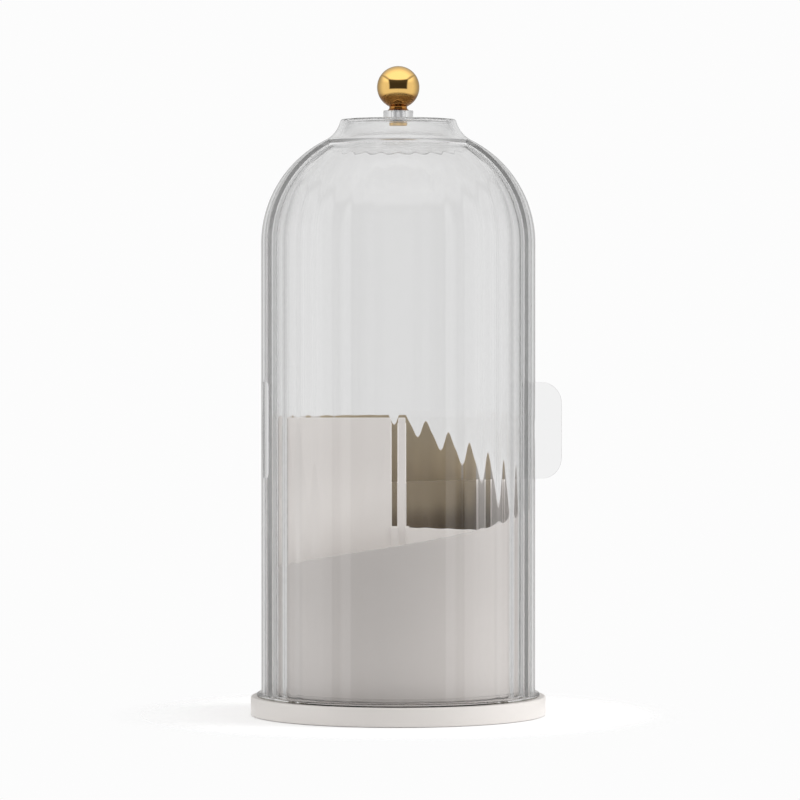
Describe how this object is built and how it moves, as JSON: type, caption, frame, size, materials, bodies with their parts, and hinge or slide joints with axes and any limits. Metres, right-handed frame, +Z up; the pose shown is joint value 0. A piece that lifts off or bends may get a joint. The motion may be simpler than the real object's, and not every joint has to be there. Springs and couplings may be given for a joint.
{
  "type": "rotating makeup organizer",
  "caption": "Turning brush and cosmetics cup with radial cells on a round base, under a clear fluted dome with a sliding front door, a side handle tab and a ball knob.",
  "frame": {"origin": "centre of the pad's underside, on the cup's axis, where the organizer stands", "axes": "+Z up along the axis of the cup and the door, -Y towards the door, +X towards the handle tab"},
  "size_m": [0.1467, 0.14, 0.3077],
  "materials": {
    "base_plastic": "satin",
    "pad_rubber": "matte",
    "race_steel": "pressed, zinc plated",
    "fastener_steel": "zinc plated",
    "ball_chrome": "polished",
    "cage_plastic": "moulded",
    "bush_plastic": "moulded",
    "cup_plastic": "satin",
    "partition_plastic": "satin",
    "clear_plastic": "clear, polished",
    "sleeve_chrome": "polished",
    "gold_metal": "polished"
  },
  "bodies": {
    "base": {"base_plate": "base_plastic", "non_slip_pad": "pad_rubber", "lower_race": "race_steel", "lower_race_screws": "fastener_steel", "pivot_bolt": "fastener_steel", "pivot_washer": "fastener_steel", "lock_nut": "fastener_steel"},
    "cage": {"ball_cage": "cage_plastic", "bearing_balls": "ball_chrome"},
    "holder": {"brush_cup": "cup_plastic", "divider_core": "partition_plastic", "upper_race": "race_steel", "upper_race_screws": "fastener_steel", "hub_bush": "bush_plastic"},
    "cover": {"bottom_ring": "clear_plastic", "fixed_shell": "clear_plastic", "stop_pad": "clear_plastic", "wear_washer": "bush_plastic", "knob_collar": "clear_plastic", "knob_sleeve": "sleeve_chrome", "knob_screw": "gold_metal", "ball_knob": "gold_metal"},
    "door": {"door_shell": "clear_plastic", "handle_tab": "clear_plastic"}
  },
  "joints": [
    {"name": "holder_spin", "type": "hinge", "parent": "base", "child": "holder", "pos_m": [0, 0, 0.0103], "axis": [0, 0, 1], "continuous": true},
    {"name": "cage_spin", "type": "hinge", "parent": "base", "child": "cage", "pos_m": [0, 0, 0.0074], "axis": [0, 0, 1], "continuous": true},
    {"name": "cover_lift", "type": "slide", "parent": "base", "child": "cover", "axis": [0, 0, 1], "range_m": [0, 0.15]},
    {"name": "door_slide", "type": "hinge", "parent": "cover", "child": "door", "pos_m": [0, 0, 0.28], "axis": [0, 0, 1], "range_deg": [-136, 0]}
  ],
  "couplings": [
    {"joint": "cage_spin", "follows": "holder_spin", "ratio": 0.5}
  ]
}
